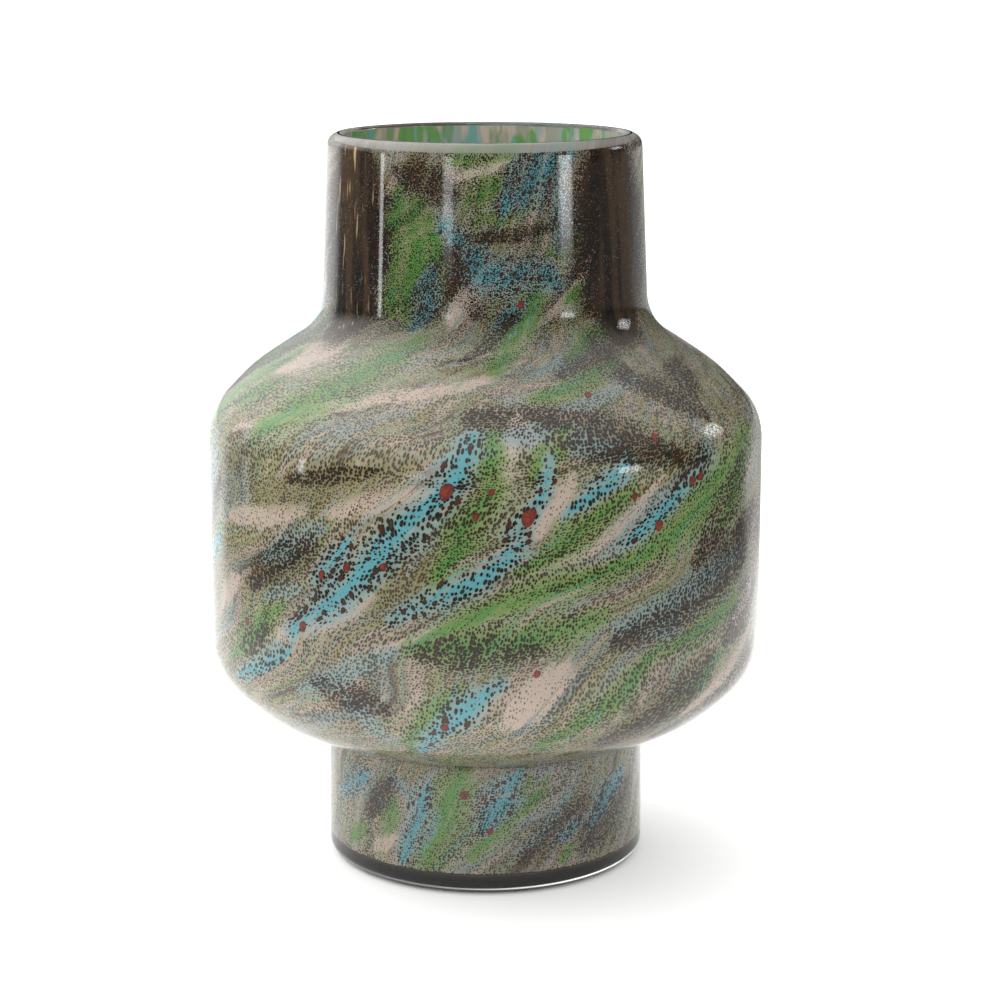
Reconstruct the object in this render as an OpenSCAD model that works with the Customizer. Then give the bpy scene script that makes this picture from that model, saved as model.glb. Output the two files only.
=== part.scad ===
// Hand-blown cased-glass vase: an opaque streaked lining, a dark veil of specks over it,
// and a thick clear casing outside. Millimetres, +Z up, origin at the centre of the base.

/* [Overall] */
// Height from the table to the top of the lip
height = 260.35; // [215:0.05:320]
// Diameter of the body, the widest part
body_d = 196.85; // [163:0.05:240]

/* [Neck] */
// Outer diameter of the neck at the lip
mouth_d = 110; // [90:0.5:132]
// Outer diameter where the neck meets the shoulder
neck_d = 115.5; // [95:0.5:139]
// Height of the neck, from the shoulder to the top of the lip
neck_h = 65; // [52:0.5:80]
// Radius of the hollow between neck and shoulder
neck_fillet = 17.5; // [8:0.5:22]
// Radius of the lip's outer edge
lip_round = 4.5; // [2:0.25:5]
// Radius of the lip's inner edge
lip_inner_round = 1.2; // [0.4:0.1:1.4]

/* [Shoulder] */
// Height of the flatter part of the shoulder, below the neck
shoulder_h = 16.5; // [12:0.5:20]
// Height of the steeper part of the shoulder, down to the side
shoulder_drop = 15.5; // [12:0.5:19]
// Width of the steeper part of the shoulder, in from the side
shoulder_w = 15.2; // [12:0.1:18.5]
// Radius between the two parts of the shoulder
shoulder_round = 57; // [30:1:68]
// Radius between shoulder and side
side_round_high = 24; // [12:0.5:29]

/* [Underside] */
// Radius between side and underside
side_round_low = 21.5; // [12:0.5:26]
// Height of the flatter part of the underside
under_h = 9; // [6:0.5:11]
// Height of the steeper part of the underside, up to the side
under_rise = 17; // [13:0.5:21]
// Width of the steeper part of the underside, in from the side
under_w = 16.9; // [13:0.1:20.5]
// Radius between the two parts of the underside
under_round = 50; // [24:1:60]

/* [Foot] */
// Outer diameter of the foot
foot_d = 114; // [95:0.5:137]
// Height of the foot, from the table to the underside of the body
foot_h = 47; // [38:0.5:57]
// Radius of the hollow between foot and underside
foot_fillet = 4; // [1.5:0.25:5]
// Radius of the foot's lower edge
foot_round = 5; // [2:0.25:7]
// Width of the ground ring that the vase stands on
stand_ring_w = 9; // [5:0.5:14]
// Depth of the hollow ground into the underside, inside the ring
punt_depth = 1.5; // [0.5:0.1:2.5]

/* [Glass] */
// Thickness of the clear casing
casing_t = 3.8; // [3:0.1:4.8]
// Thickness of the dark veil
veil_t = 0.4; // [0.3:0.05:0.6]
// Thickness of the streaked lining
lining_t = 1.8; // [1.5:0.1:2.4]
// Depth of the coloured streaks let into the lining
streak_t = 0.8; // [0.5:0.05:1]
// Clear glass under the lining's floor
base_t = 6; // [5:0.25:8]
// Clear glass over the lining's upper edge
lip_t = 1.25; // [1:0.25:2]
// Clear glass over the veil's upper edge, which stops short of the lip
veil_lip_t = 3.5; // [2.5:0.25:5]

/* [Hidden] */

round_fn = 128;
arc_step = 7.5;
spare = 1;
wall_t = casing_t + veil_t + lining_t;

// Corners of the outer surface, from the axis at the table up to the axis at the lip.
body_r = body_d / 2;
foot_r = foot_d / 2;
mouth_r = mouth_d / 2;
neck_base_r = neck_d / 2;
neck_z = height - neck_h;
shoulder_r = body_r - shoulder_w;
under_r = body_r - under_w;
OUTER = [
    [0, 0],
    [foot_r, 0],
    [foot_r, foot_h],
    [under_r, foot_h + under_h],
    [body_r, foot_h + under_h + under_rise],
    [body_r, neck_z - shoulder_h - shoulder_drop],
    [shoulder_r, neck_z - shoulder_h],
    [neck_base_r, neck_z],
    [mouth_r, height],
    [0, height]
];

// Radius at each corner of OUTER.
OUTER_ROUNDS = [
    0, foot_round, foot_fillet, under_round, side_round_low,
    side_round_high, shoulder_round, neck_fillet, lip_round, 0
];

// Streaks: [angle round the vase in degrees, height, length, width, slant in degrees].
// Angle 0 is the front and grows to the right. A slant of 0 lies flat.
TURQUOISE = [
    [-24, 131, 96, 12, 44],
    [6, 138, 58, 10, 62],
    [27, 152, 26, 9, 40],
    [40, 141, 44, 10, 44],
    [-6, 76, 32, 9, 42],
    [20, 246, 26, 13, 16],
    [8, 217, 36, 8, 6],
    [9, 34, 24, 8, 58],
    [53, 30, 20, 7, 50],
    [118, 120, 80, 12, 42],
    [163, 98, 60, 11, 40],
    [205, 140, 76, 12, 44],
    [250, 108, 60, 11, 40],
    [292, 142, 50, 10, 46],
    [150, 232, 34, 9, 20],
    [236, 226, 34, 10, 30]
];
GREEN = [
    [-3, 143, 44, 9, 78],
    [20, 138, 40, 8, 42],
    [52, 132, 66, 14, 38],
    [26, 88, 60, 10, 30],
    [-53, 100, 40, 12, 36],
    [-28, 224, 36, 18, 68],
    [18, 208, 26, 11, 58],
    [-9, 28, 34, 12, 76],
    [92, 140, 70, 13, 42],
    [140, 136, 76, 13, 40],
    [184, 118, 70, 12, 42],
    [228, 134, 66, 14, 40],
    [270, 128, 70, 12, 44],
    [100, 226, 34, 14, 60],
    [196, 226, 36, 15, 56],
    [276, 224, 34, 14, 62]
];

// Rust chips: [angle round the vase in degrees, height, diameter].
CHIPS = [
    [-7, 152, 4.6], [9, 144, 4.8], [-39, 102, 3.4], [37, 137, 3.6], [46, 150, 3],
    [-34, 121, 2.6], [31, 148, 2.4], [-20, 126, 2.6], [-8, 73, 3], [26, 178, 2.6],
    [121, 124, 4], [166, 102, 3.4], [208, 146, 4.4], [247, 106, 3.6], [290, 140, 3]
];

function unit(v) = v / norm(v);

function direction(p, i) = unit(p[i + 1] - p[i]);

function inward(d) = [-d[1], d[0]];

// The point where the line through p along d crosses the line through q along e.
function meet(p, d, q, e) = p + d * (cross(q - p, e) / cross(d, e));

// How far the edge after corner i moves inwards: base at the table, top at the lip, else wall.
function moved_by(i, base, wall, top) = i == 0 ? base : i == len(OUTER) - 2 ? top : wall;

function edge_point(i, base, wall, top) =
    OUTER[i] + inward(direction(OUTER, i)) * moved_by(i, base, wall, top);

// The corners of OUTER after each of its edges has moved inwards.
function inset(base, wall, top) = [
    [0, base],
    for (i = [1 : len(OUTER) - 2]) meet(
        edge_point(i - 1, base, wall, top), direction(OUTER, i - 1),
        edge_point(i, base, wall, top), direction(OUTER, i)
    ),
    [0, height - top]
];

function bends_left(p, i) = cross(p[i] - p[i - 1], p[i + 1] - p[i]) > 0;

// A convex radius shrinks as it moves inwards, down to a tight edge, and a hollow one grows.
function inset_rounds(wall) = [
    for (i = [0 : len(OUTER) - 1])
        OUTER_ROUNDS[i] == 0 ? 0
        : bends_left(OUTER, i) ? max(0.3, OUTER_ROUNDS[i] - wall)
        : OUTER_ROUNDS[i] + wall
];

// Points along the arc of radius r that rounds the corner b between a and c.
function corner_arc(a, b, c, r) =
    let (
        u = unit(a - b),
        v = unit(c - b),
        half = acos(u * v) / 2,
        centre = b + unit(u + v) * r / sin(half),
        from = b + u * r / tan(half) - centre,
        turn = (180 - 2 * half) * sign(cross(b - a, c - b)),
        steps = max(2, ceil(abs(turn) / arc_step))
    )
    [
        for (k = [0 : steps])
            let (t = turn * k / steps)
            centre + [from[0] * cos(t) - from[1] * sin(t), from[0] * sin(t) + from[1] * cos(t)]
    ];

function rounded(p, rounds) = [
    for (i = [0 : len(p) - 1])
        each (rounds[i] == 0 ? [p[i]] : corner_arc(p[i - 1], p[i], p[i + 1], rounds[i]))
];

// The closed half-section inside a surface that lies wall deep.
module half_section(base, wall, top) {
    polygon(rounded(inset(base, wall, top), inset_rounds(wall)));
}

// The hollow of the vase, open upwards, with the lip's inner edge rounded off.
module hollow_section() {
    corners = inset(base_t + veil_t + lining_t, wall_t, 0);
    rounds = inset_rounds(wall_t);
    last = len(corners) - 2;
    lip_edge = corners[last] + [lip_inner_round * 2, 0];
    polygon(rounded(
        [for (i = [0 : last]) corners[i], lip_edge, lip_edge + [0, spare], [0, height + spare]],
        [for (i = [0 : last - 1]) rounds[i], lip_inner_round, 0, 0, 0]
    ));
}

// The shallow hollow ground into the underside, as far out as the ground ring.
module punt_section() {
    rim_r = foot_r - foot_round - stand_ring_w;
    polygon([
        [0, -spare],
        [rim_r, -spare],
        [rim_r, 0],
        [rim_r - 3 * punt_depth, punt_depth],
        [0, punt_depth]
    ]);
}

// A closed shell between two depths under the outer surface, open at the mouth.
module shell(depth, thickness, floor_z, top) {
    rotate_extrude($fn = round_fn) difference() {
        half_section(floor_z, depth, top);
        half_section(floor_z + thickness, depth + thickness, top - spare);
        hollow_section();
    }
}

module veil_shell() {
    shell(casing_t, veil_t, base_t, veil_lip_t);
}

// A pointed streak, cut straight in towards the axis.
module streak_cutter(streak) {
    half_length = streak[2] / 2;
    half_width = streak[3] / 2;
    side_r = (half_length ^ 2 + half_width ^ 2) / (2 * half_width);
    rotate([0, 0, streak[0] - 90])
        translate([0, 0, streak[1]])
        rotate([90, 0, 90])
        rotate([0, 0, streak[4]])
        linear_extrude(body_r)
        intersection() {
            translate([0, side_r - half_width]) circle(side_r, $fn = round_fn);
            translate([0, half_width - side_r]) circle(side_r, $fn = round_fn);
        }
}

module streak_cutters(streaks) {
    for (streak = streaks) streak_cutter(streak);
}

module chip_cutters() {
    for (chip = CHIPS)
        rotate([0, 0, chip[0] - 90])
            translate([0, 0, chip[1]])
            rotate([0, 90, 0])
            cylinder(h = body_r, d = chip[2], $fn = 48);
}

module streak_skin() {
    shell(casing_t + veil_t, streak_t, base_t + veil_t, lip_t);
}

module clear_casing() {
    color([0.86, 0.9, 0.9, 0.35])
        rotate_extrude($fn = round_fn) difference() {
            half_section(0, 0, 0);
            half_section(base_t, casing_t, veil_lip_t);
            half_section(base_t + veil_t, casing_t + veil_t, lip_t);
            hollow_section();
            punt_section();
        }
}

module speckle_veil() {
    color([0.16, 0.11, 0.09])
        difference() {
            veil_shell();
            chip_cutters();
        }
}

module rust_chips() {
    color([0.52, 0.2, 0.14])
        intersection() {
            veil_shell();
            chip_cutters();
        }
}

module turquoise_streaks() {
    color([0.28, 0.62, 0.68])
        intersection() {
            streak_skin();
            streak_cutters(TURQUOISE);
        }
}

module green_streaks() {
    color([0.25, 0.52, 0.22])
        intersection() {
            streak_skin();
            difference() {
                streak_cutters(GREEN);
                streak_cutters(TURQUOISE);
            }
        }
}

module streaked_lining() {
    color([0.62, 0.54, 0.48])
        difference() {
            shell(casing_t + veil_t, lining_t, base_t + veil_t, lip_t);
            intersection() {
                streak_skin();
                union() {
                    streak_cutters(TURQUOISE);
                    streak_cutters(GREEN);
                }
            }
        }
}

clear_casing();
speckle_veil();
rust_chips();
streaked_lining();
green_streaks();
turquoise_streaks();
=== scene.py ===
import math

import bpy
import numpy as np
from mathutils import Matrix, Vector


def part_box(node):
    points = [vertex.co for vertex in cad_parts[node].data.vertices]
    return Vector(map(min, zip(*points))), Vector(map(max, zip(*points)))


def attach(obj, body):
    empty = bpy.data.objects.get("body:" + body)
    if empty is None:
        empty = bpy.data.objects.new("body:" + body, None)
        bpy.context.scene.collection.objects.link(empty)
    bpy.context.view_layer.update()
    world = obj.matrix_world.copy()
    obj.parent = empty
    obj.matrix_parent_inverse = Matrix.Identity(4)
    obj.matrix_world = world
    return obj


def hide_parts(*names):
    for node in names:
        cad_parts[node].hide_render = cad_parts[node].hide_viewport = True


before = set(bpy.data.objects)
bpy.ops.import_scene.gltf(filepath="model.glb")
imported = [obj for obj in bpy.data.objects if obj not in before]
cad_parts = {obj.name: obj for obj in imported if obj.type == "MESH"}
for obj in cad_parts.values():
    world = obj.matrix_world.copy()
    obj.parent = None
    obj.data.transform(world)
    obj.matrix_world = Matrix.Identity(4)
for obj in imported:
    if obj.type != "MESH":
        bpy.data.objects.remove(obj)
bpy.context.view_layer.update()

# A hand-blown vase of cased glass: an opaque streaked lining, a veil of dark specks with rust
# chips in it, and a thick clear casing. The vase's own lengths are in millimetres until a mesh
# is made, and MM turns them into metres. Noise scales, the studio and the camera are in metres.
MM = 0.001

# ---------------------------------------------------------------- shape, from the CAD's box
CASING_LOW, CASING_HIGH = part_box("clear_casing")
VEIL_LOW, VEIL_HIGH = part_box("speckle_veil")
LINING_LOW, LINING_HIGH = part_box("streaked_lining")
HEIGHT = (CASING_HIGH[2] - CASING_LOW[2]) / MM
BODY_R = min(-CASING_LOW[0], CASING_HIGH[0]) / MM
VEIL_R = (VEIL_HIGH[0] - VEIL_LOW[0]) / MM / 2
LINING_R = (LINING_HIGH[0] - LINING_LOW[0]) / MM / 2
CASING_T = BODY_R - VEIL_R
VEIL_T = VEIL_R - LINING_R
VEIL_TOP = VEIL_HIGH[2] / MM
LINING_TOP = LINING_HIGH[2] / MM
BASE_T = VEIL_LOW[2] / MM
LIP_T = HEIGHT - LINING_TOP
WALL_T = 6.0

FOOT_R, FOOT_H = 57.0, 47.0
MOUTH_R, NECK_R, NECK_H = 55.0, 57.75, 65.0
PUNT_R, PUNT_DEPTH = 43.0, 1.5
UNDER_W, UNDER_RISE = 16.9, 9.0  # the fold under the body, in from the side and up from the foot
SIDE_LOW, SIDE_HIGH = 26.0, 32.0  # the side's ends, up from the foot and down from the neck
SHOULDER_W, SHOULDER_DROP = 15.2, 16.5  # the shoulder's corner, in from the side and down
NECK_FOOT = HEIGHT - NECK_H
# The outline's corners, from the axis at the bottom to the axis at the top, and their radii.
CORNERS = [
    (0.0, 0.0),
    (FOOT_R, 0.0),
    (FOOT_R, FOOT_H),
    (BODY_R - UNDER_W, FOOT_H + UNDER_RISE),
    (BODY_R, FOOT_H + SIDE_LOW),
    (BODY_R, NECK_FOOT - SIDE_HIGH),
    (BODY_R - SHOULDER_W, NECK_FOOT - SHOULDER_DROP),
    (NECK_R, NECK_FOOT),
    (MOUTH_R, HEIGHT),
    (0.0, HEIGHT),
]
ROUNDS = [0, 5.0, 4.0, 50.0, 21.5, 24.0, 57.0, 17.5, 4.5, 0]
LIP_INNER_ROUND = 1.2
LEAST_ROUND = 0.3
ARC_STEP = 5.0  # degrees between the points of an arc

# How finely the meshes are cut: columns round the axis, and the longest step along the outline.
LINING_COLUMNS, VEIL_COLUMNS, CASING_COLUMNS = 320, 384, 256
LINING_STEP, INSIDE_STEP, VEIL_STEP, CASING_STEP = 2.6, 9.0, 2.2, 6.0
SINK = 0.15  # how far the casing's inner side lies under the lining's skin


def unit(v):
    """v made one long."""
    return v / np.hypot(*v)


def meet(p, d, q, e):
    """Where the line through p along d crosses the line through q along e."""
    return p + d * np.cross(q - p, e) / np.cross(d, e)


def inset(base, wall, top):
    """CORNERS moved inwards: base at the bottom, wall on the side, top at the lip."""
    points = [np.array(c) for c in CORNERS]
    ways = [unit(b - a) for a, b in zip(points, points[1:])]
    moves = [base] + [wall] * (len(ways) - 2) + [top]
    starts = [p + np.array((-w[1], w[0])) * m for p, w, m in zip(points, ways, moves)]
    inner = [meet(starts[i - 1], ways[i - 1], starts[i], ways[i]) for i in range(1, len(ways))]
    return [np.array((0.0, base))] + inner + [np.array((0.0, HEIGHT - top))]


def inset_rounds(wall):
    """The corners' radii at that depth: a convex one shrinks and a hollow one grows."""
    out = []
    for i, r in enumerate(ROUNDS):
        if not r:
            out.append(0)
            continue
        a, b, c = (np.array(CORNERS[j]) for j in (i - 1, i, i + 1))
        out.append(max(LEAST_ROUND, r - wall) if np.cross(b - a, c - b) > 0 else r + wall)
    return out


def corner_arc(a, b, c, r):
    """Points of the arc of radius r that rounds the corner b between a and c."""
    u, v = unit(a - b), unit(c - b)
    half = math.acos(float(np.dot(u, v))) / 2
    centre = b + unit(u + v) * r / math.sin(half)
    x, y = b + u * r / math.tan(half) - centre
    turn = (math.pi - 2 * half) * np.sign(np.cross(b - a, c - b))
    steps = max(3, math.ceil(math.degrees(abs(turn)) / ARC_STEP))
    out = []
    for k in range(steps + 1):
        t = turn * k / steps
        cos, sin = math.cos(t), math.sin(t)
        out.append(centre + np.array((x * cos - y * sin, x * sin + y * cos)))
    return out


def rounded(points, rounds):
    """The outline through the points, with each corner that has a radius rounded."""
    out = []
    for i, (p, r) in enumerate(zip(points, rounds)):
        out += corner_arc(points[i - 1], p, points[i + 1], r) if r else [p]
    return out


def split_long(points, longest):
    """The outline with points added on its long straight stretches."""
    out = [points[0]]
    for a, b in zip(points, points[1:]):
        n = max(1, math.ceil(np.hypot(*(b - a)) / longest))
        out += [a + (b - a) * k / n for k in range(1, n + 1)]
    return out


def outside(depth, base, top):
    """The outline at that depth, from the axis at the bottom up to the axis at the top."""
    return rounded(inset(base, depth, top), inset_rounds(depth))


def hollow():
    """The inner wall's outline, from the lip down to the axis."""
    corners = inset(BASE_T + WALL_T - CASING_T, WALL_T, 0)
    rounds = inset_rounds(WALL_T)
    lip = corners[-2]
    path = corners[:-1] + [lip + np.array((2 * LIP_INNER_ROUND, 0.0))]
    return rounded(path, rounds[:-2] + [LIP_INNER_ROUND, 0])[::-1]


def radius_at(path, height):
    """The radius at that height of a path that runs downwards."""
    return np.interp(height, [p[1] for p in path[::-1]], [p[0] for p in path[::-1]])


# ---------------------------------------------------------------- meshes
def link(name, verts, faces, materials, smooth=False):
    """A new mesh object in the scene."""
    mesh = bpy.data.meshes.new(name)
    mesh.from_pydata(verts, [], faces)
    mesh.polygons.foreach_set("use_smooth", [smooth] * len(faces))
    for material in materials:
        mesh.materials.append(material)
    mesh.update()
    piece = bpy.data.objects.new(name, mesh)
    bpy.context.scene.collection.objects.link(piece)
    return piece


def lathe(name, outline, columns, materials, slots=None):
    """A mesh of revolution. An outline point on the axis becomes one vertex."""
    angles = np.arange(columns) * 2 * math.pi / columns
    verts, rows = [], []
    for r, z in outline:
        if r < 1e-6:
            rows.append([len(verts)] * columns)
            verts.append((0.0, 0.0, z * MM))
        else:
            rows.append(list(range(len(verts), len(verts) + columns)))
            verts += [(r * MM * math.sin(a), -r * MM * math.cos(a), z * MM) for a in angles]
    faces, face_slots = [], []
    for k, (low, high) in enumerate(zip(rows, rows[1:])):
        for i in range(columns):
            j = (i + 1) % columns
            ring = [low[i], low[j], high[j], high[i]]
            ring = [v for n, v in enumerate(ring) if v != ring[n - 1]]
            if len(ring) >= 3:
                faces.append(ring)
                face_slots.append(slots[k] if slots else 0)
    piece = link(name, verts, faces, materials, smooth=True)
    piece.data.polygons.foreach_set("material_index", face_slots)
    piece.data.update()
    return piece


def places(piece):
    """(angle in degrees from the front, to the right; radius; height) of each vertex, in mm."""
    co = np.empty(len(piece.data.vertices) * 3)
    piece.data.vertices.foreach_get("co", co)
    x, y, z = co.reshape(-1, 3).T / MM
    return np.degrees(np.arctan2(x, -y)), np.hypot(x, y), z


def store(piece, name, values):
    """Keeps one number or one vector for each vertex, for the materials to read."""
    values = np.asarray(values, dtype=np.float32)
    kind, key = ("FLOAT", "value") if values.ndim == 1 else ("FLOAT_VECTOR", "vector")
    layer = piece.data.attributes.new(name, kind, "POINT")
    layer.data.foreach_set(key, values.ravel())


# ---------------------------------------------------------------- the flow of the colours
# Strokes of colour: width in mm, then the points that it runs through, as (angle, height).
TURQUOISE = [
    (11.5, [(-42, 99), (-34, 110), (-25, 123), (-17, 136), (-10, 148), (-5, 158), (-2, 168)]),
    (6, [(-36, 119), (-31, 127), (-27, 134)]),
    (7, [(-19, 108), (-9, 117), (0, 123), (5, 134), (9, 145), (12, 155), (13.5, 162)]),
    (6, [(17, 145), (24, 153), (30, 159)]),
    (5, [(27, 132), (34, 138), (41, 145), (47, 153)]),
    (7.5, [(-14, 63), (-9, 72), (-3, 80), (4, 88)]),
    (5, [(-61, 77), (-52, 84), (-43, 93)]),
    (13, [(8, 240), (16, 246), (25, 253), (31, 256)]),
    (10, [(-14, 234), (-8, 226), (-1, 217.5), (8, 216), (20, 218.5), (27, 213)]),
    (8, [(29, 243), (30, 234), (28, 226)]),
    (7, [(-26, 198), (-21, 206), (-18, 218)]),
    (5, [(3, 199), (9, 204), (13, 206)]),
    (6, [(-43, 213), (-40, 225)]),
    (9, [(-1, 24), (5, 33), (13, 44)]),
    (8, [(-66, 27), (-56, 34), (-48, 38)]),
    (8, [(-32, 10), (-26, 24), (-22, 38)]),
    (8, [(44, 21), (52, 30), (61, 36)]),
    (4, [(27, 17), (38, 24)]),
]
PALE_BLUE = [
    (11, [(16, 144), (24, 153), (31, 160)]),
    (15, [(24, 129), (32, 136), (40, 143), (46, 150), (51, 158)]),
    (9, [(-40, 80), (-30, 88), (-18, 98)]),
    (14, [(28, 104), (44, 111), (64, 121)]),
    (8, [(36, 100), (42, 98)]),
    (10, [(-50, 122), (-40, 131), (-33, 137)]),
    (6, [(-52, 108), (-40, 116)]),
    (7, [(-10, 160), (2, 168)]),
    (14, [(4, 168), (16, 168), (30, 162)]),
    (9, [(-56, 84), (-46, 94)]),
    (9, [(-20, 66), (-28, 80)]),
    (8, [(12, 183), (30, 190), (50, 196)]),
    (8, [(-60, 208), (-50, 214)]),
    (7, [(-38, 40), (-28, 34), (-20, 42)]),
    (6, [(10, 12), (22, 22), (34, 36)]),
    (7, [(42, 208), (50, 222)]),
    (6, [(18, 174), (34, 178), (44, 181)]),
]
GREEN = [
    (13, [(-9, 121), (-6, 134), (-1, 146), (1, 156), (2, 168)]),
    (7, [(9, 155), (13, 165)]),
    (8.5, [(7, 125), (16, 135), (24, 144), (30, 150)]),
    (6, [(15, 161), (18, 171)]),
    (8, [(-12, 102), (0, 112), (14, 120), (28, 125), (38, 131)]),
    (15, [(32, 127), (42, 135), (54, 146), (66, 158)]),
    (11, [(-64, 84), (-55, 95), (-46, 107)]),
    (9, [(40, 93), (51, 99), (64, 105)]),
    (12, [(-14, 99), (0, 101), (12, 103), (24, 109)]),
    (8, [(12, 64), (20, 73), (30, 84), (38, 96)]),
    (7, [(42, 74), (58, 88)]),
    (8, [(-17, 62), (-12, 74), (-4, 86)]),
    (18, [(-54, 164), (-43, 175), (-33, 184), (-23, 193)]),
    (11, [(-70, 168), (-60, 176)]),
    (7, [(26, 188), (40, 195), (52, 199)]),
    (8, [(12, 177), (26, 181), (42, 186)]),
    (12, [(56, 132), (64, 146), (70, 160)]),
    (11, [(3, 185), (9, 195), (14, 205), (20, 216)]),
    (5, [(30, 207), (38, 212)]),
    (11, [(-35, 203), (-34, 222), (-33, 243)]),
    (13, [(-28, 202), (-26, 222), (-25, 240)]),
    (9, [(-19, 212), (-17, 224), (-20, 236)]),
    (9, [(-10, 255), (2, 258), (13, 258)]),
    (9, [(-5, 241), (3, 246), (7, 248)]),
    (5, [(-4, 235), (8, 236), (20, 241)]),
    (8, [(25, 224), (33, 226), (38, 231)]),
    (16, [(-21, 10), (-15, 28), (-8, 45)]),
    (8, [(-4, 12), (6, 24), (17, 41)]),
    (5, [(12, 28), (25, 41)]),
    (7, [(-60, 11), (-50, 19)]),
    (7, [(-39, 19), (-36, 31)]),
    (5, [(29, 10), (34, 14)]),
]
PINK = [
    (9, [(-32, 142), (-21, 148), (-11, 152)]),
    (7, [(3, 148), (5, 163), (8, 172), (11, 168), (14, 150)]),
    (4.5, [(-22, 97), (-6, 108), (6, 114), (22, 119)]),
    (5, [(11, 126), (21, 132), (31, 142), (37, 153)]),
    (8, [(10, 137), (14, 146), (17, 156)]),
    (14, [(4, 74), (9, 83), (17, 92)]),
    (7, [(-50, 94), (-36, 103), (-22, 116)]),
    (6, [(-64, 162), (-45, 170), (-25, 177), (-5, 181), (12, 188)]),
    (18, [(-66, 180), (-52, 190)]),
    (4, [(-10, 249), (2, 252), (13, 257)]),
    (4, [(18, 199), (29, 207), (38, 215), (43, 224)]),
    (8, [(-64, 133), (-50, 137), (-38, 142)]),
    (6, [(48, 70), (60, 80), (72, 90)]),
    (10, [(-70, 100), (-62, 112)]),
    (6, [(4, 190), (12, 197), (17, 202)]),
    (7, [(-12, 200), (-6, 209), (-2, 214)]),
    (6, [(-46, 11), (-34, 18)]),
    (8, [(62, 96), (72, 106)]),
]
OLIVE_PATCHES = [
    (15, [(-52, 143), (-34, 152), (-14, 160)]),
    (12, [(13, 156), (17, 170)]),
    (9, [(-24, 110), (-13, 122), (-8, 132)]),
    (10, [(20, 117), (40, 128), (62, 142)]),
    (9, [(-66, 150), (-54, 158)]),
    (5, [(20, 62), (36, 76), (52, 90)]),
    (14, [(40, 182), (56, 176), (70, 164)]),
]
# Smoky patches of the neck, where the veil closes up. The first two, at the neck's left and right
# sides, are also painted shade: they darken the sides that face away from the light and reflect
# the dark room. The last two are at the sides and behind.
SMOKE_AND_SHADE = [
    (32, [(-57, 194), (-56, 230), (-56, 266)]),
    (34, [(56, 196), (54, 232), (52, 266)]),
    (26, [(120, 196), (124, 230), (122, 266)]),
    (30, [(214, 196), (208, 230), (212, 266)]),
]
# Patches where the specks are denser and darker. The wide ones on the right, from about 40 to 76
# degrees round, are partly painted shade: they darken that side, where less light falls.
DENSE_AND_SHADE = [
    (13, [(-32, 250), (-20, 247), (-12, 243)]),
    (9, [(-14, 224), (-8, 213), (-4, 204)]),
    (5, [(-3, 229), (12, 230), (26, 233)]),
    (12, [(22, 184), (42, 191), (60, 197)]),
    (5, [(-6, 188), (5, 196), (11, 204)]),
    (12, [(-56, 112), (-46, 123), (-36, 131)]),
    (9, [(-60, 88), (-48, 98)]),
    (13, [(42, 150), (50, 158)]),
    (16, [(28, 100), (46, 108), (66, 118)]),
    (11, [(-14, 98), (10, 99)]),
    (5, [(-42, 151), (-20, 158)]),
    (16, [(-2, 173), (15, 171), (30, 165), (42, 159)]),
    (12, [(50, 172), (66, 182)]),
    (9, [(-36, 84), (-20, 78)]),
    (12, [(14, 12), (40, 30)]),
    (10, [(-48, 24), (-36, 38)]),
    (18, [(46, 108), (58, 118), (72, 132)]),
    (16, [(48, 122), (58, 138), (68, 154)]),
    (14, [(28, 64), (42, 74), (54, 86)]),
    (12, [(34, 186), (46, 177), (56, 168)]),
    (16, [(60, 92), (74, 104)]),
    (18, [(40, 14), (62, 30)]),
    (10, [(44, 62), (60, 72), (76, 84)]),
]
# Rust chips: angle in degrees, then height, width and length in mm.
CHIPS = [
    (-7.2, 152, 4.2, 6.4), (8.8, 143.6, 4.4, 6.8), (-39, 102, 3.0, 4.0), (37, 137, 3.4, 3.8),
    (46, 150, 3.0, 3.4), (-34, 121, 2.2, 3.6), (31, 148, 2.2, 2.6), (-20, 126, 2.4, 3.0),
    (-8, 73, 2.8, 3.2), (26, 178, 2.4, 2.8), (-57, 98, 3.0, 3.2), (-7.5, 36, 3.0, 3.4),
    (10.5, 91, 2.4, 2.6), (37.5, 165, 2.4, 3.0), (-28, 124.5, 2.6, 3.8), (1.5, 152, 2.0, 2.6),
    (-1.5, 144, 2.2, 3.0), (13, 207, 2.2, 3.0), (48.5, 151, 2.6, 3.2), (2, 23, 2.4, 2.8),
]
SWIRL = 0.70  # degrees round for each mm along the outline
MM_PER_DEGREE = 1.5  # about, on the body
END_SHARE = 0.35  # a stroke's width at its ends, as a share of its full width
FAR_FROM, FAR_SPAN, FAR_END = 74, 196, 290  # the angles that far_strokes fills, and its limit
FAR_LOWS = [66, 14, 104, 140, 204, 84, 172, 122, 228, 152]
FOOT_TOP = 42  # strokes that start on the foot end below this height
# The far strokes of each colour: seed, how many, width in mm, and mm of rise for each degree.
FAR = {
    "turquoise": (21, 28, 9, 1.25),
    "pale_blue": (22, 24, 10, 1.2),
    "green": (23, 38, 11, 1.25),
    "pink": (24, 30, 9, 1.25),
    "dense_and_shade": (25, 26, 13, 1.2),
    "olive": (26, 18, 12, 1.25),
}


def wave(angle, along, seed, count=5, size=40.0):
    """A smooth random value of about -1 to 1, which closes on itself round the vase."""
    rng = np.random.default_rng(seed)
    total = np.zeros_like(angle)
    for _ in range(count):
        turns = rng.integers(1, 6)
        rise = along / size * rng.uniform(-3, 3)
        total += np.sin(np.radians(angle) * turns + rise + rng.uniform(0, 6.28))
    return total / count ** 0.5 / 1.2


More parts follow.
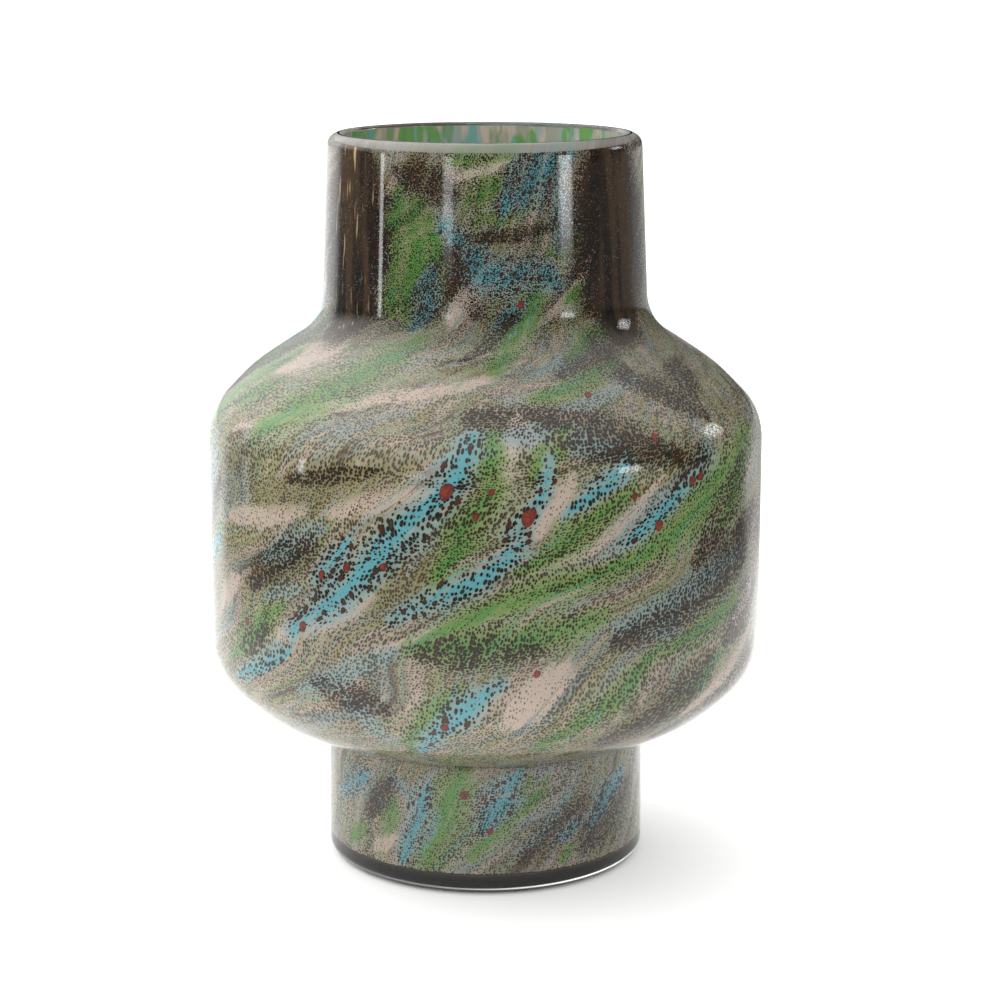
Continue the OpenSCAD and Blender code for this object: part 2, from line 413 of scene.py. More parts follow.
def distance_to(angle, radius, along, points):
    """Distance in mm from each vertex to a stroke, and how far along the stroke, from 0 to 1."""
    best = np.full(angle.shape, 1e9)
    where = np.zeros(angle.shape)
    wide = [(b[0] - a[0]) * MM_PER_DEGREE for a, b in zip(points, points[1:])]
    lengths = [np.hypot(w, b[1] - a[1]) for w, a, b in zip(wide, points, points[1:])]
    done, whole = 0.0, sum(lengths)
    for (a, b), length in zip(zip(points, points[1:]), lengths):
        px = np.radians((angle - a[0] + 180) % 360 - 180) * radius
        py = along - a[1]
        vx = math.radians(b[0] - a[0]) * radius
        vy = b[1] - a[1]
        t = np.clip((px * vx + py * vy) / (vx * vx + vy * vy), 0, 1)
        gap = np.hypot(px - vx * t, py - vy * t)
        nearer = gap < best
        best = np.where(nearer, gap, best)
        where = np.where(nearer, (done + length * t) / whole, where)
        done += length
    return best, where


def stroke_field(angle, radius, along, strokes, to_along):
    """1 on the middle line of a stroke, 0 at its edge and down to -1 away from every stroke."""
    field = np.full(angle.shape, -1.0)
    for width, points in strokes:
        gap, t = distance_to(angle, radius, along, [(a, to_along(z)) for a, z in points])
        swell = np.sin(math.pi * np.clip(t, 0.02, 0.98)) ** 0.6
        half = width / 2 * (END_SHARE + (1 - END_SHARE) * swell)
        field = np.maximum(field, 1 - gap / half)
    return np.clip(field, -1, 1)


def twisted(angle, radius, z, rate, bend):
    """The place turned about the axis by rate degrees for each mm of height, so that a slanting
    strand of glass becomes an upright one."""
    turn = np.radians(angle - rate * z + bend)
    return np.stack([radius * np.sin(turn), -radius * np.cos(turn), z], axis=1)


def far_strokes(seed, count, width, slant):
    """Strokes for the sides and the back, where the colours go on in the same swirl."""
    rng = np.random.default_rng(seed)
    out = []
    for k in range(count):
        angle = FAR_FROM + FAR_SPAN * (k + rng.uniform(0.1, 0.9)) / count
        low = FAR_LOWS[k % len(FAR_LOWS)] + rng.uniform(-8, 8)
        rise = rng.uniform(24, 62) if 60 < low < 170 else rng.uniform(12, 30)
        rise = min(rise, FOOT_TOP - low) if low < FOOT_TOP else rise
        lean = min(rise / slant * rng.uniform(0.8, 1.4), FAR_END - angle)
        middle = (angle + lean * 0.55, low + rise * 0.5)
        out.append((
            width * rng.uniform(0.6, 1.3),
            [(angle, low), middle, (angle + lean, low + rise)],
        ))
    return out


def paint(piece, outline):
    """Gives each vertex the fields that the glass materials read: its place along the swirl, an
    even measure of the outline for the specks and their sideways drift, and each colour's
    strokes. Waves make all of them a little uneven."""
    angle, radius, z = places(piece)
    pts = np.array(outline)
    steps = np.hypot(*np.diff(pts, axis=0).T)
    arc = np.concatenate([[0], np.cumsum(steps)])
    middles = np.maximum((pts[1:, 0] + pts[:-1, 0]) / 2, 20.0)
    even = np.concatenate([[0], np.cumsum(steps * BODY_R / middles)])
    upward = np.maximum.accumulate(pts[:, 1]) + np.arange(len(pts)) * 1e-6  # always rising

    def to_along(height):
        return np.interp(height, upward, arc)

    along = to_along(z)
    bend = 7 * wave(angle, along, 3) + 3 * wave(angle, along, 4, 7, 16.0)
    store(piece, "flow", twisted(angle, radius, along, SWIRL, bend * 1.6))
    store(piece, "even", np.interp(z, upward, even) + 2.0 * wave(angle, along, 31, 9, 9.0))
    store(piece, "sway", 0.22 * np.interp(z, upward, even) + 2.0 * wave(angle, along, 32, 9, 9.0))
    jitter = 0.9 * wave(angle, along, 8, 9, 7.0)
    near = {
        "turquoise": TURQUOISE, "pale_blue": PALE_BLUE, "green": GREEN, "pink": PINK,
        "dense_and_shade": DENSE_AND_SHADE, "smoke_and_shade": SMOKE_AND_SHADE, "olive": OLIVE_PATCHES,
    }
    for name, strokes in near.items():
        strokes = strokes + (far_strokes(*FAR[name]) if name in FAR else [])
        store(piece, name, stroke_field(angle + jitter, radius, along, strokes, to_along))
    store(piece, "height", z)


# ---------------------------------------------------------------- materials
class Nodes:
    """A material's nodes, made by short calls."""

    def __init__(self, name):
        self.material = bpy.data.materials.new(name)
        self.material.use_nodes = True
        self.tree = self.material.node_tree
        self.tree.nodes.clear()

    def add(self, kind, **settings):
        node = self.tree.nodes.new(kind)
        for key, value in settings.items():
            setattr(node, key, value)
        return node

    def put(self, socket, value):
        if isinstance(value, bpy.types.NodeSocket):
            self.tree.links.new(value, socket)
        elif isinstance(value, tuple) and len(value) == 3 and socket.type == "RGBA":
            socket.default_value = (*value, 1.0)
        else:
            socket.default_value = value

    def math(self, operation, *values, clamp=False):
        node = self.add("ShaderNodeMath", operation=operation, use_clamp=clamp)
        for socket, value in zip(node.inputs, values):
            self.put(socket, value)
        return node.outputs[0]

    def mix(self, factor, a, b):
        node = self.add("ShaderNodeMix", data_type="RGBA")
        self.put(node.inputs["Factor"], factor)
        self.put(node.inputs[6], a)
        self.put(node.inputs[7], b)
        return node.outputs[2]

    def step(self, value, low, high):
        """0 below low, 1 above high and smooth between them."""
        node = self.add("ShaderNodeMapRange", interpolation_type="SMOOTHSTEP")
        for socket, v in zip(node.inputs, (value, low, high, 0.0, 1.0)):
            self.put(socket, v)
        return node.outputs[0]

    def field(self, name):
        """A number that paint() stored for each vertex."""
        node = self.add("ShaderNodeAttribute", attribute_name=name)
        return node.outputs["Fac"]

    def here(self):
        """The place on the object, in metres."""
        return self.add("ShaderNodeTexCoord").outputs["Object"]

    def parts(self, vector):
        """The x, y and z of a vector."""
        split = self.add("ShaderNodeSeparateXYZ")
        self.put(split.inputs[0], vector)
        return list(split.outputs)

    def turn(self, x, y):
        """The angle round the vase in radians, from the front to the right."""
        return self.math("ARCTAN2", x, self.math("MULTIPLY", y, -1.0))

    def place(self, name, scale):
        """A stored place, or the object's own when name is empty, scaled along each axis."""
        if name:
            source = self.add("ShaderNodeAttribute", attribute_name=name).outputs["Vector"]
        else:
            source = self.here()
        node = self.add("ShaderNodeMapping")
        self.put(node.inputs["Vector"], source)
        node.inputs["Scale"].default_value = scale
        return node.outputs[0]

    def noise(self, vector, detail=2.0):
        node = self.add("ShaderNodeTexNoise")
        self.put(node.inputs["Vector"], vector)
        node.inputs["Scale"].default_value = 1.0
        node.inputs["Detail"].default_value = detail
        return node.outputs["Fac"]

    def channels(self, vector):
        """Three random values at a place."""
        node = self.add("ShaderNodeTexNoise")
        self.put(node.inputs["Vector"], vector)
        node.inputs["Scale"].default_value = 1.0
        node.inputs["Detail"].default_value = 1.5
        split = self.add("ShaderNodeSeparateColor")
        self.put(split.inputs[0], node.outputs["Color"])
        return list(split.outputs)

    def strands(self, width, length):
        """Three random values drawn out along the swirl, about width across and length long,
        in mm."""
        return self.channels(self.place("flow", (1 / width, 1 / width, 1 / length)))

    def blend(self, a, b, share):
        """share of a and the rest of b, as numbers."""
        rest = self.math("MULTIPLY", b, 1 - share)
        return self.math("ADD", self.math("MULTIPLY", a, share), rest)

    def total(self, terms):
        """The sum of (value, weight) terms."""
        out = None
        for value, weight in terms:
            part = self.math("MULTIPLY", value, weight)
            out = part if out is None else self.math("ADD", out, part)
        return out

    def off(self, value):
        """One less the value."""
        return self.math("SUBTRACT", 1.0, value)

    def over(self, under, colour, value, low, high, most=1.0):
        """colour laid over under where value is high."""
        return self.mix(self.math("MULTIPLY", self.step(value, low, high), most), under, colour)

    def ramp(self, value, stops):
        node = self.add("ShaderNodeValToRGB")
        self.put(node.inputs[0], value)
        ramp = node.color_ramp
        for k, (place, colour) in enumerate(stops):
            stop = ramp.elements[k] if k < 2 else ramp.elements.new(place)
            stop.position = place
            stop.color = (*colour, 1.0)
        return node.outputs[0]

    def bump(self, height, strength, distance):
        node = self.add("ShaderNodeBump")
        node.inputs["Strength"].default_value = strength
        node.inputs["Distance"].default_value = distance
        self.put(node.inputs["Height"], height)
        return node.outputs[0]

    def principled(self, **values):
        node = self.add("ShaderNodeBsdfPrincipled")
        for key, value in values.items():
            self.put(node.inputs[key.replace("_", " ")], value)
        return node.outputs[0]

    def finish(self, shader):
        out = self.add("ShaderNodeOutputMaterial")
        self.tree.links.new(shader, out.inputs["Surface"])
        return self.material


# The colours of the glass.
TAUPE = (0.56, 0.45, 0.34)
PINKISH = (0.77, 0.63, 0.50)
OLIVE = (0.46, 0.42, 0.16)
SAND = (0.70, 0.55, 0.29)
GREY = (0.55, 0.51, 0.43)
BROWN = (0.21, 0.145, 0.09)
GOLD = (0.50, 0.30, 0.12)
LIP_GREY = (0.34, 0.33, 0.30)
BLUE_GREY = (0.44, 0.58, 0.60)
LEAF = (0.16, 0.50, 0.10)
DEEP_LEAF = (0.13, 0.43, 0.09)
OLIVE_LEAF = (0.38, 0.50, 0.16)
PALE_LEAF = (0.50, 0.60, 0.34)
SKY = (0.19, 0.61, 0.70)
PALE_SKY = (0.42, 0.63, 0.64)
ROSE = (0.88, 0.70, 0.59)
YELLOW_OLIVE = (0.44, 0.38, 0.18)
SPECK = (0.024, 0.018, 0.011)
BROWN_SPECK = (0.13, 0.100, 0.060)
# The colour of the painted highlights: golden glints on the left of the neck.
GLINT = (0.95, 0.66, 0.34)
RUST = (0.42, 0.05, 0.03)
DARK_RUST = (0.16, 0.035, 0.02)
WARM_BROWN = (0.11, 0.065, 0.03)
WARM_RED = (0.15, 0.045, 0.025)
# The painted shade of the smoky patches: near-black and dark brown.
SMOKE_SHADE_DARK = (0.008, 0.006, 0.005)
SMOKE_SHADE_BROWN = (0.115, 0.070, 0.036)
CLEAR = (1.0, 1.0, 1.0)
CLEAR_TINTED = (0.97, 0.985, 0.98)

# Heights in mm between which the glass changes or painted shade is laid on: where the change
# starts, and where it is full.
ON_NECK = (186.0, 204.0)
ON_FOOT = (56.0, 48.0)
# Painted shade: the veil's specks grow in a ring at the fold between the foot and the body, to
# darken that crease.
FOLD_SHADE_FROM, FOLD_SHADE_TO = (43.0, 49.0), (60.0, 53.0)  # the fold between the foot and the body
# Painted shade: below these heights the veil closes up dark under the lining and round its lower
# edge, the dark contact line where the vase stands.
BASE_SHADE = (7.6, 6.9)
UNDER_LIP = (254.0, 257.5)

# The lining's ground, by a value drawn along the strands.
GROUND = [(0.38, BROWN), (0.44, GREY), (0.49, TAUPE), (0.54, PINKISH), (0.62, TAUPE)]
# Streaks over the ground, one over another: colour; two strands, each with the number of its
# random value; the first one's share; where the streak starts and is full; and its most.
STREAKS = [
    (OLIVE, "wide", 1, "middle", 1, 0.45, 0.49, 0.55, 0.8),
    (PALE_LEAF, "wide", 2, "middle", 2, 0.45, 0.51, 0.57, 0.7),
    (BLUE_GREY, "middle", 0, "wide", 2, 0.2, 0.47, 0.38, 0.55),
    (SAND, "thin", 0, "middle", 1, 0.4, 0.52, 0.64, 0.5),
    (BROWN, "thin", 1, "middle", 2, 0.4, 0.52, 0.66, 0.4),
    (PINKISH, "thin", 2, "middle", 0, 0.4, 0.52, 0.68, 0.45),
]
RAGGED = 4.4  # how far the strands push a stroke's edge in and out, in half widths


def colours(n):
    """The streaked colours of the lining, as one colour output."""
    strands = {"wide": n.strands(10, 90), "middle": n.strands(3.4, 50), "thin": n.strands(1.5, 24)}
    middle, thin = strands["middle"], strands["thin"]
    base = n.ramp(n.blend(strands["wide"][0], middle[0], 0.5), GROUND)
    for colour, first, i, second, j, share, start, full, most in STREAKS:
        value = n.blend(strands[first][i], strands[second][j], share)
        base = n.over(base, colour, value, start, full, most)
    ragged = n.math("MULTIPLY", n.blend(middle[1], thin[0], 0.55), RAGGED)
    ragged = n.math("SUBTRACT", ragged, RAGGED / 2)
    depth = n.mix(n.step(thin[2], 0.52, 0.62), BROWN, GOLD)
    green = n.mix(n.step(thin[1], 0.42, 0.58), DEEP_LEAF, LEAF)
    strokes = [  # colour, field, where it starts and is full, and its most
        # the denser patches and the smoky patches take the dark depth colour; on the right side
        # and at the neck's sides this is painted shade
        (depth, "dense_and_shade", -0.4, 0.6, 0.6),
        (depth, "smoke_and_shade", -0.5, 0.2, 0.9),
        (ROSE, "pink", -0.30, 0.45, 0.9),
        (YELLOW_OLIVE, "olive", -0.4, 0.6, 0.65),
        (PALE_SKY, "pale_blue", -0.3, 0.7, 0.75),
        (PALE_LEAF, "green", -0.65, -0.15, 0.7),
        (OLIVE_LEAF, "green", -0.25, 0.20, 0.85),
        (green, "green", 0.20, 1.00, 0.85),
        (PALE_SKY, "turquoise", -0.80, 0.0, 0.75),
        (SKY, "turquoise", 0.15, 0.85, 0.95),
    ]
    for colour, name, start, full, most in strokes:
        edge = n.math("ADD", n.field(name), ragged)
        base = n.over(base, colour, edge, start, full, most)
    return n.over(base, LIP_GREY, n.field("height"), *UNDER_LIP, 0.72)


def lining_material():
    """The opaque streaked glass, as seen from outside."""
    n = Nodes("lining_glass")
    return n.finish(n.principled(Base_Color=colours(n), Roughness=0.5, Specular_IOR_Level=0.1))


def inside_material():
    """The inner wall: patches of the same colours drawn upwards, with no specks over them."""
    n = Nodes("lining_glass_inside")
    patch = n.channels(n.place("", (85.0, 85.0, 20.0)))
    small = n.channels(n.place("", (230.0, 230.0, 60.0)))
    colour = n.mix(n.step(n.blend(patch[0], small[0], 0.6), 0.44, 0.52), GREY, ROSE)
    patches = [  # colour, value, where it starts and is full, and its most
        (BLUE_GREY, n.blend(patch[1], small[1], 0.6), 0.51, 0.56, 0.9),
        (LEAF, n.blend(patch[2], small[2], 0.6), 0.51, 0.55, 0.95),
        (DEEP_LEAF, small[1], 0.56, 0.62, 0.6),
        (SKY, n.blend(patch[0], small[2], 0.5), 0.58, 0.61, 0.7),
    ]
    for laid in patches:
        colour = n.over(colour, *laid)
    return n.finish(n.principled(
        Base_Color=n.mix(0.12, colour, GREY), Roughness=0.12, IOR=1.5,
        Coat_Weight=0.5, Coat_Roughness=0.03,
    ))


def around(n):
    """The distance round the vase in mm, as if it were as wide as the body everywhere."""
    x, y, _ = n.parts(n.here())
    return n.math("MULTIPLY", n.turn(x, y), BODY_R)


def specks(n, pitch, stretch, shift, random):
    """Cells of a pattern laid over the unrolled wall, pitch mm wide: distance from the middle,
    and two random numbers for each cell."""
    place = n.add("ShaderNodeCombineXYZ")
    across = n.math("SUBTRACT", around(n), n.field("sway"))
    n.put(place.inputs[0], n.math("ADD", n.math("DIVIDE", across, pitch), shift))
    n.put(place.inputs[1], n.math("DIVIDE", n.field("even"), pitch * stretch))
    cells = n.add("ShaderNodeTexVoronoi", voronoi_dimensions="2D", feature="F1")
    cells.inputs["Randomness"].default_value = random
    cells.inputs["Scale"].default_value = 1.0
    n.put(cells.inputs["Vector"], place.outputs[0])
    split = n.add("ShaderNodeSeparateColor")
    n.put(split.inputs[0], cells.outputs["Color"])
    return cells.outputs["Distance"], split.outputs[0], split.outputs[1]


def veil_material():
    """Dark bronze specks with clear gaps between them: fine ones over most of the glass, coarser
    near-black ones over the turquoise and on the foot, and a few large ones with a warm middle.
    The veil also carries painted shade, in the smoky patches at the neck's sides, at the fold and
    round the bottom, and painted golden highlights on the left of the neck."""
    n = Nodes("bronze_veil")
    names = ("turquoise", "green", "pink", "dense_and_shade", "smoke_and_shade")
    turquoise, green, pink, dense_and_shade, smoke_and_shade = (n.field(name) for name in names)
    height = n.field("height")
    on_neck, on_foot = n.step(height, *ON_NECK), n.step(height, *ON_FOOT)
    # Painted shade in the crease at the fold between the foot and the body.
    fold_shade = n.math("MULTIPLY", n.step(height, *FOLD_SHADE_FROM), n.step(height, *FOLD_SHADE_TO))
    near_blue = n.step(turquoise, -0.8, 0.0)
    core = n.math("MULTIPLY", n.step(turquoise, 0.55, 0.95), n.off(on_neck))
    on_leaf = n.math("MULTIPLY", n.step(green, 0.1, 0.8), n.off(on_neck))
    cloudy = n.math("SUBTRACT", n.strands(7.0, 60)[0], 0.5)
    more = n.total([  # how much larger the specks are, as a share of their pitch
        # the denser patches are partly painted shade on the right side, and the smoky patches
        # paint the shade at the neck's sides
        (n.step(dense_and_shade, -0.6, 0.6), 0.18), (n.step(smoke_and_shade, -0.6, 0.4), 0.42),
        (n.step(pink, -0.3, 0.4), -0.15), (on_leaf, -0.03), (near_blue, 0.04), (on_neck, 0.03),
        # the fold term and the bottom term paint shade: a darker crease and a dark ring at the
        # bottom
        (fold_shade, 0.12), (n.step(height, *BASE_SHADE), 0.70), (core, -0.20), (cloudy, 0.48),
    ])

    def layer(pitch, shift, random, least, spread):
        """How far inside a speck a place is, below 0 in a gap, and the cell's random number."""
        distance, chance, other = specks(n, pitch, 1.05, shift, random)
        reach = n.math("MULTIPLY", n.math("SUBTRACT", chance, 0.5), spread)
        reach = n.math("ADD", reach, least)
        return n.math("SUBTRACT", n.math("ADD", reach, more), distance), other

    fine, _ = layer(pitch=1.10, shift=3.1, random=0.8, least=0.335, spread=0.26)
    coarse, other = layer(pitch=1.6, shift=0.0, random=0.72, least=0.285, spread=0.28)
    use_coarse = n.math("MULTIPLY", n.math("MAXIMUM", near_blue, on_foot), n.off(on_neck))
    gap = n.math("ADD", n.math("MULTIPLY", coarse, use_coarse),
                 n.math("MULTIPLY", fine, n.off(use_coarse)))
    far, lucky, hue = specks(n, pitch=3.9, stretch=1.25, shift=7.3, random=0.8)
    size = n.math("ADD", n.math("MULTIPLY", near_blue, 0.24), 0.06)
    size = n.math("MULTIPLY", n.step(lucky, 0.25, 0.95), size)
    size = n.math("SUBTRACT", size, n.math("MULTIPLY", core, 0.10))
    large = n.math("SUBTRACT", size, far)
    speck = n.math("MAXIMUM", n.step(gap, -0.06, 0.07), n.step(large, -0.02, 0.03))
    warm = n.math("MULTIPLY", n.step(gap, 0.10, 0.30), n.step(other, 0.30, 0.8))
    warm = n.math("MAXIMUM", warm, n.step(large, 0.02, 0.09))

    on_colour = n.step(turquoise, -0.8, 0.1)
    for value in (
        n.math("MULTIPLY", n.step(green, -0.6, 0.3), 0.65),
        n.math("MULTIPLY", n.step(dense_and_shade, -0.6, 0.3), 0.85),
        on_neck,
        n.math("MULTIPLY", on_foot, 0.7),
    ):
        on_colour = n.math("MAXIMUM", on_colour, value)
    ink = n.mix(on_colour, BROWN_SPECK, SPECK)
    tint = n.mix(n.step(hue, 0.3, 0.7), WARM_BROWN, WARM_RED)
    colour = n.mix(n.math("MULTIPLY", warm, 0.75), ink, tint)
    # Painted shade: the smoky patches turn to near-black and brown upright streaks.
    upright = n.channels(n.place("", (150.0, 150.0, 16.0)))
    band = n.mix(n.step(upright[0], 0.44, 0.56), SMOKE_SHADE_DARK, SMOKE_SHADE_BROWN)
    colour = n.over(colour, band, smoke_and_shade, -0.3, 0.5, 0.65)
    # Painted highlights: thin golden glints in the smoky patches, only on the left side of the
    # neck, standing in for light reflected by the bronze.
    gold = n.channels(n.place("", (760.0, 760.0, 60.0)))
    shine = n.math("MULTIPLY", n.step(gold[0], 0.61, 0.72), n.step(smoke_and_shade, -0.2, 0.6))
    shine = n.math("MULTIPLY", shine, n.step(around(n), -40.0, -80.0))
    colour = n.mix(n.math("MULTIPLY", shine, 0.8), colour, GLINT)
    both = n.add("ShaderNodeMixShader")
    cover = n.math("ADD", n.math("MULTIPLY", on_colour, 0.22), 0.74)
    n.put(both.inputs[0], n.math("MULTIPLY", speck, cover))
    n.put(both.inputs[1], n.add("ShaderNodeBsdfTransparent").outputs[0])
    n.put(both.inputs[2], n.principled(Base_Color=colour, Roughness=0.5, Specular_IOR_Level=0.05))
    return n.finish(both.outputs[0])


def chip_material():
    """Opaque rust-red glass, cloudy on a scale of about a millimetre."""
    n = Nodes("rust_glass")
    cloud = n.noise(n.place("", (900.0, 900.0, 900.0)))
    colour = n.mix(n.step(cloud, 0.35, 0.65), RUST, DARK_RUST)
    return n.finish(n.principled(Base_Color=colour, Roughness=0.4, Specular_IOR_Level=0.2))


def casing_material():
    """Clear glass, with the faint waves of hand-blown work."""
    n = Nodes("clear_glass")
    waves = n.noise(n.place("", (16.0, 16.0, 7.0)), detail=1.0)
    tint = n.mix(waves, CLEAR_TINTED, CLEAR)
    return n.finish(n.principled(
        Base_Color=tint, Roughness=0.0, IOR=1.5, Transmission_Weight=1.0,
        Normal=n.bump(waves, 0.08, 0.004),
    ))


# ---------------------------------------------------------------- pieces
def make_lining():
    """The opaque glass, streaked outside, which is also the inner wall and the inner floor."""
    skin = outside(CASING_T + VEIL_T, BASE_T + VEIL_T, LIP_T)
    inner = hollow()
    start = radius_at(inner, LINING_TOP)
    outer = split_long(skin[:-1], LINING_STEP)
    outer = [p for p in outer if not (p[1] > LINING_TOP - 0.01 and p[0] < start)]
    edge = np.array((start, LINING_TOP))
    wall = split_long([edge] + [p for p in inner if p[1] < LINING_TOP], INSIDE_STEP)
    slots = [0] * len(outer) + [1] * (len(wall) - 1)
    materials = [lining_material(), inside_material()]
    piece = lathe("lining", outer + wall, LINING_COLUMNS, materials, slots)
    paint(piece, outer)
    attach(piece, "root")
    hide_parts("streaked_lining", "green_streaks", "turquoise_streaks")
    return piece


def make_veil():
    """The specks, as one surface in the middle of the veil's thickness."""
    skin = outside(CASING_T + VEIL_T / 2, BASE_T + VEIL_T / 2, HEIGHT - VEIL_TOP)[:-1]
    skin = [p for p in skin if p[0] > MOUTH_R - WALL_T + 1 or p[1] < HEIGHT / 2]
    outer = split_long(skin, VEIL_STEP)
    piece = lathe("veil", outer, VEIL_COLUMNS, [veil_material()])
    paint(piece, outer)
    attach(piece, "root")
    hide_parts("speckle_veil")
    return piece


def make_chips():
    """Flat oval drops of rust-red glass, slightly domed, lying in the veil."""
    pts = np.array(outside(CASING_T + VEIL_T / 2, BASE_T, LIP_T))
    rng = np.random.default_rng(12)
    verts, faces = [], []
    rings, sides = 4, 20
    dome, depth = 0.32, 0.1  # the middle's rise over the edge, and the edge's depth in the veil
    for angle, height, width, length in CHIPS:
        k = int(np.argmax((pts[:, 1] >= height) & (pts[:, 0] > 5)))
        way = unit(pts[k] - pts[k - 1])
        normal = np.array((way[1], -way[0]))
        t = (height - pts[k - 1][1]) / (pts[k][1] - pts[k - 1][1])
        spot = pts[k - 1] + (pts[k] - pts[k - 1]) * t
        a = math.radians(angle)
        out = np.array((math.sin(a), -math.cos(a)))
        side = np.array((math.cos(a), math.sin(a), 0.0))
        up = np.array((*(out * way[0]), way[1]))
        push = np.array((*(out * normal[0]), normal[1]))
        centre = np.array((*(out * spot[0]), spot[1]))
        lean = math.radians(-24 + rng.uniform(-8, 8))
        wobble = rng.uniform(0.9, 1.1, 3)
        start = len(verts)
        for ring in range(rings + 1):
            share = math.sin(math.pi / 2 * ring / rings)
            rise = dome * math.cos(math.pi / 2 * ring / rings) - depth
            for s in range(sides if ring else 1):
                b = 2 * math.pi * s / sides
                reach = 1 + 0.06 * math.sin(3 * b + wobble[0] * 5) * wobble[1]
                u = width / 2 * share * math.cos(b) * reach
                v = length / 2 * share * math.sin(b) * reach
                du = u * math.cos(lean) - v * math.sin(lean)
                dv = u * math.sin(lean) + v * math.cos(lean)
                fall = (du / spot[0]) ** 2 * spot[0] / 2  # the wall curves away on both sides
                verts.append(tuple((centre + side * du + up * dv + push * (rise - fall)) * MM))
        for s in range(sides):
            faces.append((start, start + 1 + s, start + 1 + (s + 1) % sides))
        for ring in range(1, rings):
            low, high = start + 1 + (ring - 1) * sides, start + 1 + ring * sides
            for s in range(sides):
                j = (s + 1) % sides
                faces.append((low + s, high + s, high + j, low + j))
        last = start + 1 + (rings - 1) * sides
        faces.append(tuple(last + s for s in range(sides))[::-1])
    piece = link("chips", verts, faces, [chip_material()])
    piece.data.polygons.foreach_set("use_smooth", [len(f) < sides for f in faces])
    piece.data.update()
    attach(piece, "root")
    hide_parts("rust_chips")
    return piece


def make_casing():
    """The clear glass. Its inner side lies just under the lining's skin, because the layers
    are fused and no air is left between them."""
    skin = outside(0, 0, 0)[1:-1]
    inner = hollow()
    top = LINING_TOP - SINK
    start = radius_at(inner, top)
    back = outside(CASING_T + VEIL_T + SINK, BASE_T + VEIL_T + SINK, LIP_T + SINK)
    back = [p for p in back if not (p[1] > top - SINK and p[0] < start)]
    flat = PUNT_R - 3 * PUNT_DEPTH
    # The punt, flat in the middle, then sloping down with soft edges to the ring it stands on.
    outline = [
        np.array((0.0, PUNT_DEPTH)), np.array((flat - 2, PUNT_DEPTH)),
        np.array((flat, PUNT_DEPTH - 0.1)),
        np.array((PUNT_R - 0.6, 0.14)), np.array((PUNT_R + 0.4, 0.0)),
    ]
    outline += [p for p in skin if p[0] > PUNT_R + 0.5 or p[1] > 1]
    outline += [p for p in inner if p[1] > top] + [np.array((start, top))] + back[::-1]
    outline = split_long(outline, CASING_STEP)
    piece = lathe("casing", outline, CASING_COLUMNS, [casing_material()])
    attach(piece, "root")
    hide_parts("clear_casing")
    return piece


# ---------------------------------------------------------------- studio, in metres
CAMERA_AT, CAMERA_DOWN = (0.0053, -0.9283, 0.3281), 12.1
FLOOR_REACH = 30.0
FLOOR_GLOW = 0.41
CONTACT = (0.050, 0.058)  # from the axis: the floor glows from here out, and not under the foot
BACKDROP = [(16.0, -0.1), (16.0, 9.0)]
# What only reflections see is laid a little over the floor, as (radius, height) steps.
DARK_ROOM = [(0.3, 0.002), (1.0, 0.002), (2.6, 0.002), (2.6, 1.1)]
BRIGHT_FLOOR = [(0.26, 0.004), (1.2, 0.004)]
# Glowing cards: name, degrees from the front to the right, distance, height, width and height
# of the card, strength, and the share of its light that comes in patches.
GLOW_CARDS = [
    ("left_strip", -25, 1.25, 0.27, (0.22, 0.26), 4.5, 0.2),
    ("right_strip", 58, 1.25, 0.27, (0.32, 0.26), 8.5, 0.2),
    ("right_spot", 112, 1.25, 0.62, (0.40, 0.40), 7.5, 0.9),
    ("left_line", -76, 1.25, 0.20, (0.10, 0.55), 7.0, 0.0),
]
# The sky: its least strength, then soft lobes as direction, the cosines where the lobe starts
# and is full, and its strength.
SKY_LEAST = 0.20
SKY_LOBES = [
    ((0.0, 0.0, 1.0), 0.30, 0.98, 1.1),
    ((-1.0, 0.0, 0.12), -0.5, 0.9, 0.48),
    ((-0.66, 0.45, 0.60), 0.50, 0.99, 1.3),
]


def make_camera():
    """The photograph's viewpoint: 0.93 m in front, 0.33 m up, looking 12 degrees down."""
    camera = bpy.data.cameras.new("camera")
    camera.lens = 95.2
    camera.sensor_width = 36.0
    camera.clip_end = 100.0
    holder = bpy.data.objects.new("camera", camera)
    holder.location = CAMERA_AT
    holder.rotation_euler = (math.radians(90 - CAMERA_DOWN), 0.0, 0.0)
    bpy.context.scene.collection.objects.link(holder)
    bpy.context.scene.camera = holder


def make_floor():
    """A pale floor with a little glow of its own, except close round the foot."""
    n = Nodes("floor")
    cloud = n.noise(n.place("", (3.0, 3.0, 3.0)))
    colour = n.mix(cloud, (0.89, 0.89, 0.89), (0.92, 0.92, 0.92))
    length = n.add("ShaderNodeVectorMath", operation="LENGTH")
    n.put(length.inputs[0], n.here())
    open_air = n.step(length.outputs["Value"], *CONTACT)
    material = n.finish(n.principled(
        Base_Color=colour, Roughness=0.6, Specular_IOR_Level=0.1,
        Emission_Color=(1.0, 1.0, 1.0),
        Emission_Strength=n.math("MULTIPLY", open_air, FLOOR_GLOW),
    ))
    r = FLOOR_REACH
    corners = [(-r, -r, 0.0), (r, -r, 0.0), (r, r, 0.0), (-r, r, 0.0)]
    piece = link("floor", corners, [(0, 1, 2, 3)], [material])


def make_backdrop():
    """A white wall far away all round, which only the camera sees, above the floor's end."""
    n = Nodes("backdrop")
    light = n.add("ShaderNodeEmission")
    cloud = n.noise(n.place("", (0.1, 0.1, 0.1)), detail=1.0)
    n.put(light.inputs["Color"], n.mix(cloud, (1.0, 1.0, 1.0), (0.98, 0.98, 0.98)))
    wall = sector("backdrop", 0, 360, BACKDROP, n.finish(light.outputs[0]))
    wall.visible_camera = True
    wall.visible_glossy = False


